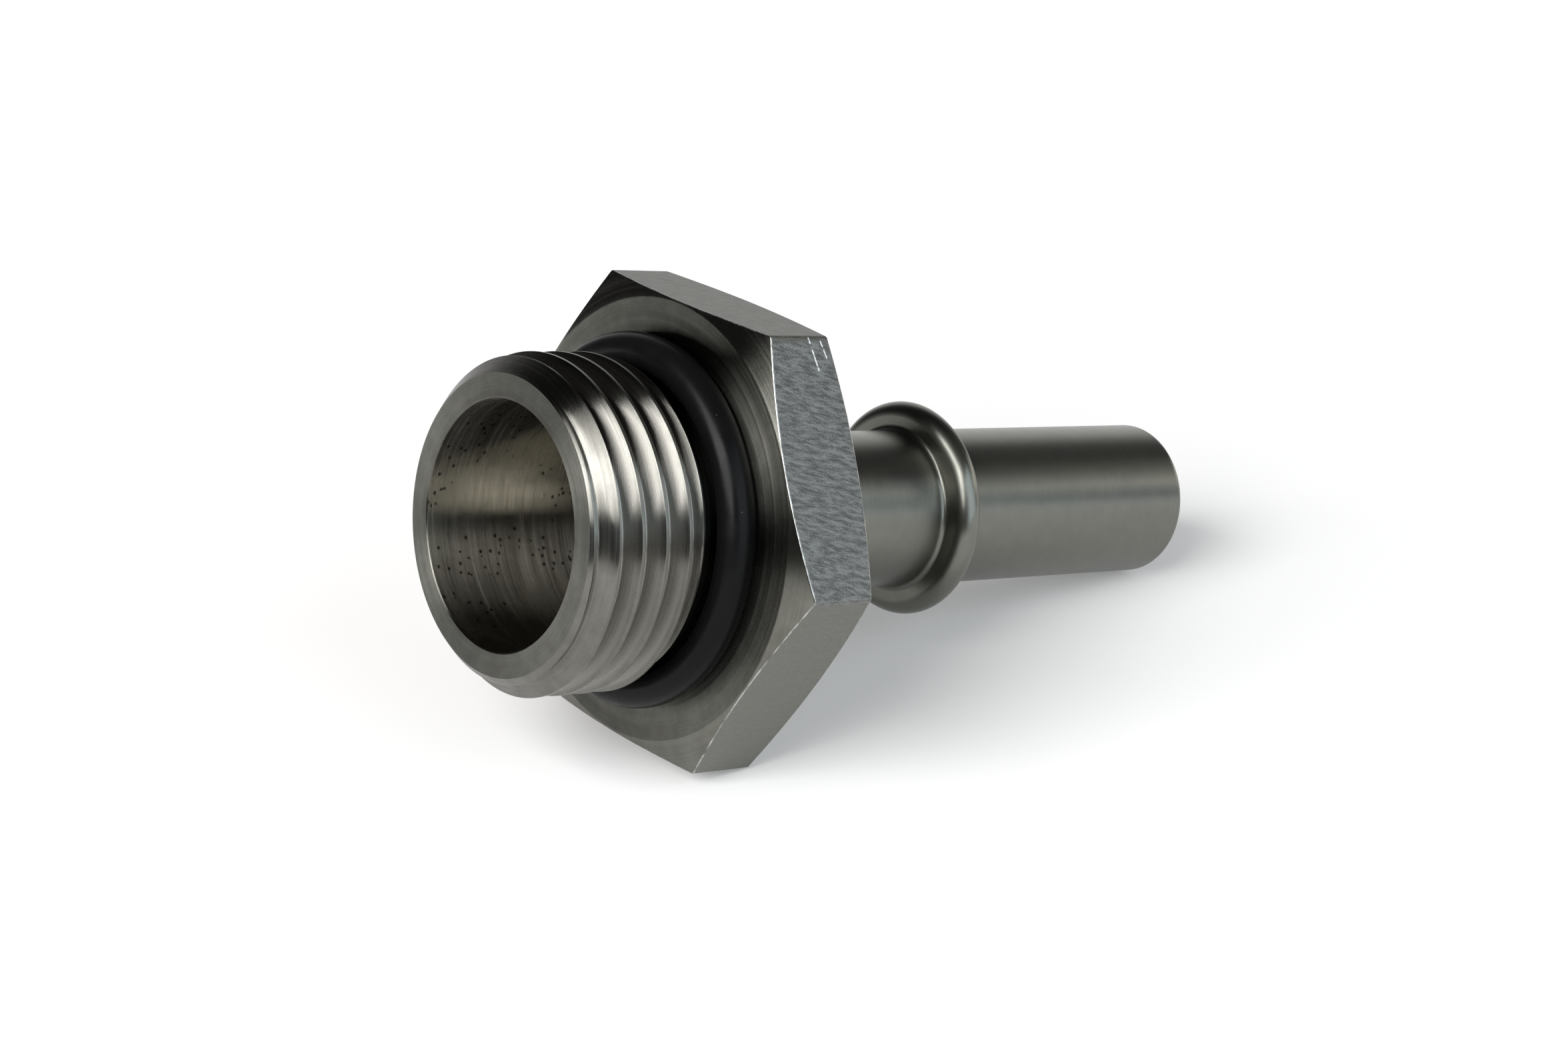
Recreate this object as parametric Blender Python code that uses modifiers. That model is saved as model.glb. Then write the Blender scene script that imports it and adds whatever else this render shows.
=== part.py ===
"""Adapter fitting from a male straight thread to a male quick connect tube end, with its O-ring.

The body is one turned piece of hexagon bar. It is drawn on a lathe axis, local +Z, with the
threaded end face at z = 0 and the tube end above it. A parent empty then lays the fitting down as
it comes to rest: on the back edge of one hexagon flat and on the rim of the tube end.
Lengths are in metres. The origin lies under the middle of the fitting, on the surface below it.
"""
import math

import bmesh
import bpy

MM = 0.001
INCH = 25.4 * MM

# Threaded end
THREAD_MAJOR_DIAMETER = 19.0 * MM
THREAD_PITCH = INCH / 16
THREAD_LENGTH = 6.65 * MM
THREAD_START_CHAMFER = 1.15 * MM
THREAD_START_ANGLE = math.radians(2.5)
THREAD_WALL = 1.55 * MM
BORE_MOUTH_CHAMFER = 0.2 * MM
BORE_FLOOR_TO_HEX_BACK = 3.0 * MM
DRILL_POINT_ANGLE = math.radians(118)

# Relief groove and O-ring
RELIEF_DEPTH = 1.0 * MM
RELIEF_CLEAR_WIDTH = 1.2 * MM
RELIEF_WALL_ANGLE = math.radians(45)
O_RING_SECTION = 2.15 * MM
SEAT_GAP = 0.2 * MM

# Hexagon
HEX_ACROSS_FLATS = INCH
HEX_THICKNESS = 5.4 * MM
HEX_CHAMFER_ANGLE = math.radians(17)
HEX_FRONT_LAND_INSET = 0.1 * MM
HEX_BACK_LAND_INSET = 0.5 * MM

# Quick connect tube end
TUBE_DIAMETER = 9.49 * MM
TUBE_WALL = 1.25 * MM
NECK_LENGTH = 13.7 * MM
BEAD_HEIGHT = 1.745 * MM
BEAD_CREST_RADIUS = 0.85 * MM
BEAD_FILLET_RADIUS = 0.6 * MM
TUBE_LENGTH = 19.55 * MM
TUBE_END_RADIUS = 0.5 * MM
TUBE_BORE_CHAMFER = 0.15 * MM

# Facets and how far a cutter reaches past what it cuts
ROUND_SEGMENTS = 72
ARC_SEGMENTS = 4
CREST_SEGMENTS = 8
RING_SECTION_SEGMENTS = 16
OVERCUT = 1.0 * MM
THREAD_CUTTER_OVERCUT = 0.1 * MM
POLE_MERGE_DISTANCE = 0.00001
FACET_ANGLE = math.tau / ROUND_SEGMENTS

# Thread form: flats of an eighth of the pitch on the crests, 60 degrees between the flanks
THREAD_DEPTH = 0.6134 * THREAD_PITCH
THREAD_CREST_FLAT = THREAD_PITCH / 8
THREAD_HALF_ANGLE = math.radians(30)

# Radii that follow from the sizes above
thread_radius = THREAD_MAJOR_DIAMETER / 2
relief_radius = thread_radius - RELIEF_DEPTH
face_radius = thread_radius - THREAD_START_CHAMFER
mouth_radius = relief_radius - THREAD_WALL
tube_radius = TUBE_DIAMETER / 2
stem_bore_radius = tube_radius - TUBE_WALL
bead_radius = tube_radius + BEAD_HEIGHT
hex_flat_radius = HEX_ACROSS_FLATS / 2
hex_corner_radius = hex_flat_radius / math.cos(math.pi / 6)
hex_front_land_radius = hex_flat_radius - HEX_FRONT_LAND_INSET
hex_back_land_radius = hex_flat_radius - HEX_BACK_LAND_INSET

# Stations along the axis, counted from the threaded end face
relief_width = RELIEF_CLEAR_WIDTH + O_RING_SECTION
relief_wall_length = RELIEF_DEPTH / math.tan(RELIEF_WALL_ANGLE)
hex_front = THREAD_LENGTH + relief_width
hex_back = hex_front + HEX_THICKNESS
hex_middle = (hex_front + hex_back) / 2
bore_floor = hex_back - BORE_FLOOR_TO_HEX_BACK
bead_front = hex_back + NECK_LENGTH
bead_middle = bead_front + BEAD_CREST_RADIUS
bead_back = bead_middle + BEAD_CREST_RADIUS
tube_end = bead_back + TUBE_LENGTH


def clear_scene():
    """Remove every object of the scene."""
    for item in list(bpy.data.objects):
        bpy.data.objects.remove(item, do_unlink=True)


def new_collection(name, hide_render=False):
    """Make a collection and link it to the scene."""
    collection = bpy.data.collections.new(name)
    collection.hide_render = hide_render
    bpy.context.scene.collection.children.link(collection)
    return collection


def new_material(name, color, roughness, metallic):
    """Make a Principled BSDF material."""
    material = bpy.data.materials.new(name)
    material.use_nodes = True
    shader = material.node_tree.nodes["Principled BSDF"]
    shader.inputs["Base Color"].default_value = (*color, 1.0)
    shader.inputs["Roughness"].default_value = roughness
    shader.inputs["Metallic"].default_value = metallic
    material.diffuse_color = (*color, 1.0)
    return material


def arc(center_r, center_z, radius, start, end, segments):
    """Points of an arc in the profile plane, angles counted from the outward radial direction."""
    angles = [start + (end - start) * step / segments for step in range(segments + 1)]
    return [(center_r + radius * math.cos(a), center_z + radius * math.sin(a)) for a in angles]


def profile_object(name, points, collection, angle=0.0, closed=False):
    """Make an object that holds a profile as a chain of edges, at an angle from +X towards +Y."""
    count = len(points)
    edges = [(i, i + 1) for i in range(count - 1)]
    if closed:
        edges.append((count - 1, 0))
    mesh = bpy.data.meshes.new(name)
    across, along = math.cos(angle), math.sin(angle)
    mesh.from_pydata([(r * across, r * along, z) for r, z in points], edges, [])
    item = bpy.data.objects.new(name, mesh)
    collection.objects.link(item)
    return item


def turned_object(name, points, collection):
    """Turn a profile, drawn down its outer side from axis to axis, into a round solid.

    A facet, not an edge between two, faces local +X, which is the side the fitting lies on.
    """
    item = profile_object(name, points, collection, angle=FACET_ANGLE / 2)
    turning = item.modifiers.new("turning", "SCREW")
    turning.axis = "Z"
    turning.steps = ROUND_SEGMENTS
    turning.render_steps = ROUND_SEGMENTS
    turning.use_merge_vertices = True
    turning.merge_threshold = POLE_MERGE_DISTANCE
    turning.use_smooth_shade = True
    return item


def mark_as_tool(item):
    """Show an object that only shapes another as wires, and leave it out of renders."""
    item.hide_render = True
    item.display_type = "WIRE"
    return item


def combine(target, tool, operation):
    """Add a Boolean modifier that joins, cuts or intersects the target with a tool."""
    step = target.modifiers.new(tool.name, "BOOLEAN")
    step.object = tool
    step.operation = operation
    step.solver = "EXACT"


def blank_profile():
    """Outer profile of the turned body, from the tube end down to the threaded end face."""
    quarter = math.pi / 2
    crest = BEAD_CREST_RADIUS
    fillet = min(BEAD_FILLET_RADIUS, BEAD_HEIGHT - BEAD_CREST_RADIUS)
    points = [(0.0, tube_end)]
    points += arc(tube_radius - TUBE_END_RADIUS, tube_end - TUBE_END_RADIUS, TUBE_END_RADIUS,
                  quarter, 0.0, ARC_SEGMENTS)
    points += arc(tube_radius + fillet, bead_back + fillet, fillet,
                  2 * quarter, 3 * quarter, ARC_SEGMENTS)
    points += arc(bead_radius - crest, bead_middle, crest, quarter, -quarter, CREST_SEGMENTS)
    points += arc(tube_radius + fillet, bead_front - fillet, fillet,
                  quarter, 2 * quarter, ARC_SEGMENTS)
    points += [(tube_radius, hex_middle), (relief_radius, hex_middle)]
    points += [(relief_radius, THREAD_LENGTH + relief_wall_length), (thread_radius, THREAD_LENGTH)]
    points += [(thread_radius, THREAD_START_CHAMFER), (face_radius, 0.0), (0.0, 0.0)]
    return points


def hex_chamfer_profile():
    """Profile of the round form that chamfers both faces of the hexagon."""
    rim = hex_corner_radius + OVERCUT
    slope = math.tan(HEX_CHAMFER_ANGLE)
    return [
        (0.0, hex_back),
        (hex_back_land_radius, hex_back),
        (rim, hex_back - (rim - hex_back_land_radius) * slope),
        (rim, hex_front + (rim - hex_front_land_radius) * slope),
        (hex_front_land_radius, hex_front),
        (0.0, hex_front),
    ]


def make_hexagon(tools):
    """Make the chamfered hexagon, a flat facing local +X."""
    bpy.ops.mesh.primitive_cylinder_add(
        vertices=6,
        radius=hex_corner_radius,
        depth=HEX_THICKNESS + 2 * OVERCUT,
    )
    hexagon = bpy.context.object
    hexagon.name = "hexagon"
    for holder in list(hexagon.users_collection):
        holder.objects.unlink(hexagon)
    tools.objects.link(hexagon)
    hexagon.location = (0.0, 0.0, hex_middle)
    hexagon.rotation_euler = (0.0, 0.0, 0.0)
    chamfer_form = turned_object("hexagon_chamfers", hex_chamfer_profile(), tools)
    combine(hexagon, mark_as_tool(chamfer_form), "INTERSECT")
    return mark_as_tool(hexagon)


def bore_profile():
    """Profile of the wide mouth bore, its drilled floor and the narrower bore of the stem.

    The 45 degree edge breaks run on past both ends of the fitting.
    """
    point_length = (mouth_radius - stem_bore_radius) / math.tan(DRILL_POINT_ANGLE / 2)
    return [
        (0.0, tube_end + OVERCUT),
        (stem_bore_radius + TUBE_BORE_CHAMFER + OVERCUT, tube_end + OVERCUT),
        (stem_bore_radius, tube_end - TUBE_BORE_CHAMFER),
        (stem_bore_radius, bore_floor + point_length),
        (mouth_radius, bore_floor),
        (mouth_radius, BORE_MOUTH_CHAMFER),
        (mouth_radius + BORE_MOUTH_CHAMFER + OVERCUT, -OVERCUT),
        (0.0, -OVERCUT),
    ]


def make_thread_cutter(tools):
    """Make the helical cutter whose section is the space between two thread crests.

    The section is a trapezoid that follows a right-hand helix. It enters before the end face and
    leaves in the relief groove, where it is already clear of the metal.
    """
    root_radius = thread_radius - THREAD_DEPTH
    outer_radius = thread_radius + THREAD_CUTTER_OVERCUT
    widening = math.tan(THREAD_HALF_ANGLE)
    crest_gap = THREAD_PITCH - THREAD_CREST_FLAT
    outer_half_width = crest_gap / 2 + THREAD_CUTTER_OVERCUT * widening
    root_half_width = crest_gap / 2 - THREAD_DEPTH * widening
    start = -THREAD_PITCH / 2
    end = THREAD_LENGTH + relief_wall_length + outer_half_width
    steps = math.ceil((end - start) / THREAD_PITCH * ROUND_SEGMENTS)
    turns = steps / ROUND_SEGMENTS
    section = [
        (outer_radius, start + outer_half_width),
        (outer_radius, start - outer_half_width),
        (root_radius, start - root_half_width),
        (root_radius, start + root_half_width),
    ]
    guide = profile_object("thread_guide", section, tools, closed=True)
    winding = guide.modifiers.new("winding", "SCREW")
    winding.axis = "Z"
    winding.steps = steps
    winding.render_steps = steps
    winding.angle = math.tau * turns
    winding.screw_offset = THREAD_PITCH * turns
    winding.use_normal_calculate = True

    depsgraph = bpy.context.evaluated_depsgraph_get()
    mesh = bpy.data.meshes.new_from_object(guide.evaluated_get(depsgraph))
    bpy.data.objects.remove(guide, do_unlink=True)
    mesh.name = "thread_cutter"
    shape = bmesh.new()
    shape.from_mesh(mesh)
    bmesh.ops.holes_fill(shape, edges=shape.edges, sides=len(section))
    bmesh.ops.recalc_face_normals(shape, faces=shape.faces)
    shape.to_mesh(mesh)
    shape.free()
    cutter = bpy.data.objects.new("thread_cutter", mesh)
    cutter.rotation_euler = (0.0, 0.0, THREAD_START_ANGLE)
    tools.objects.link(cutter)
    return mark_as_tool(cutter)


def make_body(parts, tools, steel):
    """Turn the body, join the hexagon to it, drill the bores and cut the thread."""
    body = turned_object("fitting_body", blank_profile(), parts)
    body.data.materials.append(steel)
    combine(body, make_hexagon(tools), "UNION")
    bore = turned_object("bore_cutter", bore_profile(), tools)
    combine(body, mark_as_tool(bore), "DIFFERENCE")
    combine(body, make_thread_cutter(tools), "DIFFERENCE")
    return body


def make_o_ring(parts, rubber):
    """Make the O-ring in the groove against the hexagon, slimmer by the seat gap all round."""
    bpy.ops.mesh.primitive_torus_add(
        major_segments=ROUND_SEGMENTS,
        minor_segments=RING_SECTION_SEGMENTS,
        major_radius=relief_radius + O_RING_SECTION / 2,
        minor_radius=O_RING_SECTION / 2 - SEAT_GAP,
    )
    ring = bpy.context.object
    ring.name = "o_ring"
    for holder in list(ring.users_collection):
        holder.objects.unlink(ring)
    parts.objects.link(ring)
    ring.location = (0.0, 0.0, hex_front - O_RING_SECTION / 2)
    ring.rotation_euler = (0.0, 0.0, FACET_ANGLE / 2)
    ring.data.shade_smooth()
    ring.data.materials.append(rubber)
    return ring


def lying_tilt():
    """Angle by which the tube end drops when the fitting rests on its hexagon and its rim.

    The surface touches the back edge of the lowest flat and is tangent to the rounded rim.
    """
    edge_z = hex_back - HEX_BACK_LAND_INSET * math.tan(HEX_CHAMFER_ANGLE)
    run = tube_end - TUBE_END_RADIUS - edge_z
    drop = hex_flat_radius - (tube_radius - TUBE_END_RADIUS)
    return math.atan2(drop, run) - math.asin(TUBE_END_RADIUS / math.hypot(run, drop))


def lay_down(pieces, parts):
    """Parent the pieces to an empty that lays them on the surface, centred over the origin."""
    tilt = lying_tilt()
    edge_z = hex_back - HEX_BACK_LAND_INSET * math.tan(HEX_CHAMFER_ANGLE)
    lowest_x = -face_radius * math.sin(tilt)
    highest_x = (
        (tube_end - TUBE_END_RADIUS) * math.cos(tilt)
        + (tube_radius - TUBE_END_RADIUS) * math.sin(tilt)
        + TUBE_END_RADIUS
    )
    pose = bpy.data.objects.new("lying_pose", None)
    pose.location = (
        -(lowest_x + highest_x) / 2,
        0.0,
        edge_z * math.sin(tilt) + hex_flat_radius * math.cos(tilt),
    )
    pose.rotation_euler = (0.0, math.pi / 2 + tilt, 0.0)
    parts.objects.link(pose)
    for piece in pieces:
        piece.parent = pose


def main():
    """Build the fitting."""
    clear_scene()
    parts = new_collection("quick_connect_adapter_fitting")
    tools = new_collection("cutters", hide_render=True)
    steel = new_material("machined_stainless", (0.42, 0.42, 0.40), 0.32, 1.0)
    rubber = new_material("black_rubber", (0.02, 0.02, 0.022), 0.55, 0.0)
    body = make_body(parts, tools, steel)
    ring = make_o_ring(parts, rubber)
    lay_down([body, ring] + list(tools.objects), parts)


main()
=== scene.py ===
"""Looks of a quick connect adapter fitting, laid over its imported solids.

The fitting is one turned piece of hexagon bar: a male thread with a wide bore, a relief groove with
a rubber ring in it, the hexagon, a neck, a locking bead and a plain tube. Its steel is one closed
surface, and the ring is another. Both are worked out on a lathe axis and then laid down as the
fitting rests, on the back edge of one hexagon flat and on the rim of the tube.

Lathe frame: z runs along the axis from the threaded end face, x points to the side the fitting lies
on, and angles turn from x towards y. Lengths are in metres.
"""
import logging
import math
from dataclasses import dataclass
from enum import Enum
from functools import reduce

import bmesh
import bpy
import numpy as np
from mathutils import Euler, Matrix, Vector


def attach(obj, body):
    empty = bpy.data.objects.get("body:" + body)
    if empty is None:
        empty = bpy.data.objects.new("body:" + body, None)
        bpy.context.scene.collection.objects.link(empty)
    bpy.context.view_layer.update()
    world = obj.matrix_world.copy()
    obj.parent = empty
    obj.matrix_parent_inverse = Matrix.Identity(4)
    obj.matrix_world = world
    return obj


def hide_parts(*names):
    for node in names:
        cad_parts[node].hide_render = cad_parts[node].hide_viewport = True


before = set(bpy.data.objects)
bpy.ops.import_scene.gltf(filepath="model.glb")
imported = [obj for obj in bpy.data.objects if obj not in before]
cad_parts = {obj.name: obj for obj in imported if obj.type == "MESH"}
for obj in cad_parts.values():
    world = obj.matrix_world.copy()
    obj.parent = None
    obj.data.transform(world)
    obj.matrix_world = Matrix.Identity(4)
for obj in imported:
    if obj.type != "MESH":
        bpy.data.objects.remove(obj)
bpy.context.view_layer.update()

logging.basicConfig(level=logging.INFO, format="%(levelname)s %(message)s")
log = logging.getLogger("fitting")

MM = 0.001
SHORT_STEP = 0.04 * MM
JOIN_DISTANCE = 0.0008 * MM
SHARP_ANGLE = math.radians(38.0)
SIXTH = math.tau / 6
RING_SLOPE = 1.37
BROAD_SHARE = 0.21
ACROSS_MARKS = 0.25
WHITE = (1.0, 1.0, 1.0)

Triple = tuple[float, float, float]
Color = Triple
Span = tuple[float, float]
Item = bpy.types.Object
Socket = bpy.types.NodeSocket


class Finish(Enum):
    """Finishes of the steel, numbered as the body's material slots."""

    FACED = 0
    THREADED = 1
    BORED = 2
    DRAWN = 3
    # Painted highlight: the bright colour of the edge arcs round the flats.
    EDGE_PAINTED_HIGHLIGHT = 4
    SATIN = 5
    CHAMFERED = 6
    # Painted shade: a near black colour on the relief groove's floor under the ring.
    RELIEF_PAINTED_SHADE = 7


@dataclass(frozen=True)
class LyingPose:
    """How the fitting lies: its axis drops by a tilt towards the tube end."""

    tilt: float
    along: float
    up: float

    def place(self, points: np.ndarray) -> np.ndarray:
        """Turn lathe points by a right angle and the tilt about y, and shift them on to the floor.

        Args:
            points: Lathe coordinates, three to a row.

        Returns:
            The same points in the scene.
        """
        down, side, axis = points[..., 0], points[..., 1], points[..., 2]
        cosine, sine = math.cos(self.tilt), math.sin(self.tilt)
        x = axis * cosine - down * sine + self.along
        z = -axis * sine - down * cosine + self.up
        return np.stack([x, side, z], axis=-1)


@dataclass(frozen=True)
class Corner:
    """A corner of a profile, and how the stretch after it looks.

    Args:
        station: Distance along the axis, one value or one for each column.
        radius: Distance from the axis, one value or one for each column.
        rounding: Radius of the arc that turns the corner.
        steps: Facets on that arc.
        finish: Finish of the stretch after the corner.
        rows: Rows inside that stretch.
        arc_finish: Finish of the arc, if it differs from the stretch after it.
    """

    station: float | np.ndarray
    radius: float | np.ndarray
    rounding: float = 0.0
    steps: int = 3
    finish: Finish = Finish.FACED
    rows: int = 0
    arc_finish: Finish | None = None


@dataclass(frozen=True)
class Surface:
    """A grid of lathe points with a finish for each band of faces between two rows.

    Args:
        points: Rows by columns by three.
        finishes: One finish number for each band.
        wraps: True where the last column joins the first one.
    """

    points: np.ndarray
    finishes: np.ndarray
    wraps: bool = True

    def quads(self) -> np.ndarray:
        """Number the corners of every face, band by band."""
        rows, columns = self.points.shape[:2]
        across = columns if self.wraps else columns - 1
        row, column = np.meshgrid(np.arange(rows - 1), np.arange(across), indexing="ij")
        after = (column + 1) % columns
        faces = [row * columns + column, row * columns + after,
                 (row + 1) * columns + after, (row + 1) * columns + column]
        return np.stack(faces, axis=-1).reshape(-1, 4)

    def face_finishes(self) -> np.ndarray:
        """Repeat each band's finish for all of its faces."""
        across = self.points.shape[1] - (0 if self.wraps else 1)
        return np.repeat(self.finishes, across)


def turned_points(profile: np.ndarray, angles: np.ndarray) -> np.ndarray:
    """Carry a profile round the axis: x = r cos a, y = r sin a, z = station.

    Args:
        profile: Station and radius for each row and column.
        angles: The columns' angles.

    Returns:
        Lathe points, rows by columns by three.
    """
    station, radius = profile[..., 0], profile[..., 1]
    return np.stack([radius * np.cos(angles), radius * np.sin(angles), station], axis=-1)


def rounded_profile(corners: list[Corner], columns: int) -> tuple[np.ndarray, np.ndarray]:
    """Lay the rows of a profile that turns each corner on an arc.

    A corner P between the directions a and b turns by the angle t. Its arc starts at
    P - a rounding tan(t / 2), and a share f along it lies at
    start + rounding (sin(t f) a + (1 - cos(t f)) n), where n is a, turned by a right angle towards
    b. Straight stretches are split evenly, with one short step beside each arc so that they shade
    flat.

    Args:
        corners: The corners in order. The first and last are end points and stay sharp.
        columns: How many columns the profile has.

    Returns:
        Stations and radii, rows by columns by two, and the finish of each band between rows.
    """
    places = np.stack([
        np.stack([np.broadcast_to(c.station, columns), np.broadcast_to(c.radius, columns)], axis=-1)
        for c in corners
    ])
    runs = places[1:] - places[:-1]
    ways = runs / np.linalg.norm(runs, axis=-1, keepdims=True)
    rows = [places[:1]]
    bands: list[int] = []
    leave = places[0]
    for index in range(1, len(corners)):
        corner, before = corners[index], corners[index - 1]
        last = index == len(corners) - 1
        turning = corner.rounding > 0.0 and not last
        reach = places[index]
        if turning:
            a, b = ways[index - 1], ways[index]
            cross = a[:, 0] * b[:, 1] - a[:, 1] * b[:, 0]
            turn = np.abs(np.arctan2(cross, (a * b).sum(axis=-1)))[:, None]
            side = np.sign(cross)[:, None]
            normal = np.stack([-a[:, 1], a[:, 0]], axis=-1) * side
            reach = places[index] - a * corner.rounding * np.tan(turn / 2)
        length = np.linalg.norm(reach - leave, axis=-1).mean()
        short = min(SHORT_STEP / length, 0.25)
        shares = np.linspace(0.0, 1.0, before.rows + 2)[1:-1]
        shares = np.unique(np.concatenate([[short], shares, [1.0 - short], [1.0]]))
        rows.append(leave + (reach - leave) * shares[:, None, None])
        bands += [before.finish.value] * len(shares)
        leave = reach
        if turning:
            share = np.linspace(0.0, 1.0, corner.steps + 1)[1:, None, None]
            arc = reach + corner.rounding * (
                np.sin(turn * share) * a + (1.0 - np.cos(turn * share)) * normal
            )
            rows.append(arc)
            bands += [(corner.arc_finish or corner.finish).value] * corner.steps
            leave = arc[-1]
    return np.concatenate(rows), np.array(bands)


def soft_minimum(first: np.ndarray, second: np.ndarray, reach: float) -> np.ndarray:
    """Lower of two values, blended where they are nearer to each other than a reach.

    The blend takes reach (1 - gap / reach) squared / 4 off the lower value.

    Args:
        first: One set of values.
        second: The other set.
        reach: Gap at which the blend starts.

    Returns:
        The blended lower values.
    """
    closeness = np.clip(1.0 - np.abs(first - second) / reach, 0.0, None)
    return np.minimum(first, second) - reach * closeness**2 / 4


@dataclass(frozen=True)
class Lathe:
    """Columns round the axis, closer together at the hexagon's corners."""

    per_flat: int = 35
    corner_offsets: tuple[float, ...] = (-0.9, -0.43, -0.28, -0.14, 0.0, 0.14, 0.28, 0.43, 0.9)
    margin: float = math.radians(2.0)

    def angles(self) -> np.ndarray:
        """Angles of the columns, from the corner before the lowest flat."""
        plain = np.linspace(self.margin, SIXTH - self.margin, self.per_flat)
        one = np.concatenate([np.radians(self.corner_offsets), plain])
        starts = -SIXTH / 2 + SIXTH * np.arange(6)
        return np.sort((starts[:, None] + one).ravel())


@dataclass(frozen=True)
class ThreadedEnd:
    """Male thread with a start chamfer, its end wall in the relief groove, and the faced end."""

    major_radius: float = 9.5 * MM
    pitch: float = 25.4 / 16 * MM
    length: float = 6.65 * MM
    start_chamfer: float = 1.15 * MM
    start_angle: float = math.radians(2.5)
    depth_share: float = 0.6134
    crest_share: float = 0.125
    half_angle: float = math.radians(30)
    crest_round: float = 0.045 * MM
    root_round: float = 0.11 * MM
    edge_blend: float = 0.06 * MM
    relief_depth: float = 1.0 * MM
    relief_round: float = 0.1 * MM

    @property
    def face_radius(self) -> float:
        """Outer radius of the faced end."""
        return self.major_radius - self.start_chamfer

    @property
    def relief_radius(self) -> float:
        """Radius of the relief groove's floor."""
        return self.major_radius - self.relief_depth

    @property
    def wall_end(self) -> float:
        """Station at which the thread's end wall meets the groove's floor."""
        return self.length + self.relief_depth

    def one_pitch(self) -> np.ndarray:
        """Section of one pitch, from the middle of a crest to the middle of the next one.

        Returns:
            Stations and radii, without the last point, which the next pitch starts with.
        """
        pitch, depth = self.pitch, self.depth_share * self.pitch
        crest = self.crest_share * pitch / 2
        root = crest + depth * math.tan(self.half_angle)
        low = self.major_radius - depth
        corners = [
            Corner(0.0, self.major_radius),
            Corner(crest, self.major_radius, self.crest_round, rows=4),
            Corner(root, low, self.root_round),
            Corner(pitch - root, low, self.root_round, rows=4),
            Corner(pitch - crest, self.major_radius, self.crest_round),
            Corner(pitch, self.major_radius),
        ]
        section, _ = rounded_profile(corners, 1)
        return section[:-1, 0]

    def surface(self, angles: np.ndarray) -> Surface:
        """Wind the section round the axis between the faced end and the groove.

        A row at u along the section runs at the station u + pitch a / turn. Its radius is the
        lowest of the section's, the start chamfer's and the end wall's. Rows that would leave the
        thread collapse on to its first or last ring.

        Args:
            angles: The columns' angles.

        Returns:
            The thread, with a closing column that meets the first one a pitch further on.
        """
        section = self.one_pitch()
        turns = np.arange(-1, math.ceil(self.wall_end / self.pitch) + 1)
        stations = (section[:, 0] + turns[:, None] * self.pitch).ravel()
        radii = np.tile(section[:, 1], len(turns))
        closed = np.append(angles, angles[0] + math.tau)
        shift = self.pitch * (closed - self.start_angle) / math.tau
        station = np.clip(stations[:, None] + shift, 0.0, self.wall_end)
        radius = np.broadcast_to(radii[:, None], station.shape)
        radius = soft_minimum(radius, self.face_radius + station, self.edge_blend)
        wall = self.major_radius + self.length - station
        radius = soft_minimum(radius, wall, self.edge_blend)
        radius = np.where(station <= 0.0, self.face_radius, radius)
        radius = np.where(station >= self.wall_end, self.relief_radius, radius)
        profile = np.stack([station, radius], axis=-1)
        bands = np.full(len(stations) - 1, Finish.THREADED.value)
        return Surface(turned_points(profile, closed), bands, wraps=False)


@dataclass(frozen=True)
class Hexagon:
    """The spanner hexagon: a turned chamfer on both faces and a broken edge round each flat."""

    front: float = 10.0 * MM
    thickness: float = 5.4 * MM
    flat_radius: float = 12.7 * MM
    chamfer_slope: float = math.tan(math.radians(17))
    front_land: float = 12.6 * MM
    back_land: float = 12.2 * MM
    corner_round: float = 0.22 * MM
    edge_round: float = 0.07 * MM
    land_round: float = 0.25 * MM

    @property
    def back(self) -> float:
        """Station of the back face."""
        return self.front + self.thickness

    def outline(self, angles: np.ndarray) -> np.ndarray:
        """Radius of the hexagon's outline, its corners turned on small arcs.

        Along a flat it is the flat's radius / cos a. On a corner's arc, whose centre lies d out
        and b off the column, it is d cos b + root(round squared - (d sin b) squared).

        Args:
            angles: The columns' angles.

        Returns:
            One radius for each column.
        """
        half = SIXTH / 2
        off_flat = (angles + half) % SIXTH - half
        off_corner = np.abs(np.abs(off_flat) - half)
        centre = (self.flat_radius - self.corner_round) / math.cos(half)
        touch = math.atan2(self.corner_round * math.sin(half),
                           centre + self.corner_round * math.cos(half))
        under = np.clip(self.corner_round**2 - (centre * np.sin(off_corner)) ** 2, 0.0, None)
        arc = centre * np.cos(off_corner) + np.sqrt(under)
        return np.where(off_corner < touch, arc, self.flat_radius / np.cos(off_flat))

    def corners(self, angles: np.ndarray) -> list[Corner]:
        """Profile corners from the shoulder out, over the flats and in to the neck.

        Args:
            angles: The columns' angles.

        Returns:
            The corners, each one with a value for every column.
        """
        outline = self.outline(angles)
        front_edge = self.front + (outline - self.front_land) * self.chamfer_slope
        back_edge = self.back - (outline - self.back_land) * self.chamfer_slope
        return [
            Corner(self.front, self.front_land, self.land_round, 2, Finish.CHAMFERED, 3),
            # The arcs round each flat take the edge steel, whose bright colour is a painted
            # highlight line.
            Corner(front_edge, outline, self.edge_round, 3, Finish.DRAWN, 6, Finish.EDGE_PAINTED_HIGHLIGHT),
            Corner(back_edge, outline, self.edge_round, 3, Finish.CHAMFERED, 3, Finish.EDGE_PAINTED_HIGHLIGHT),
            Corner(self.back, self.back_land, self.land_round, 2, Finish.FACED, 4),
        ]


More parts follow.
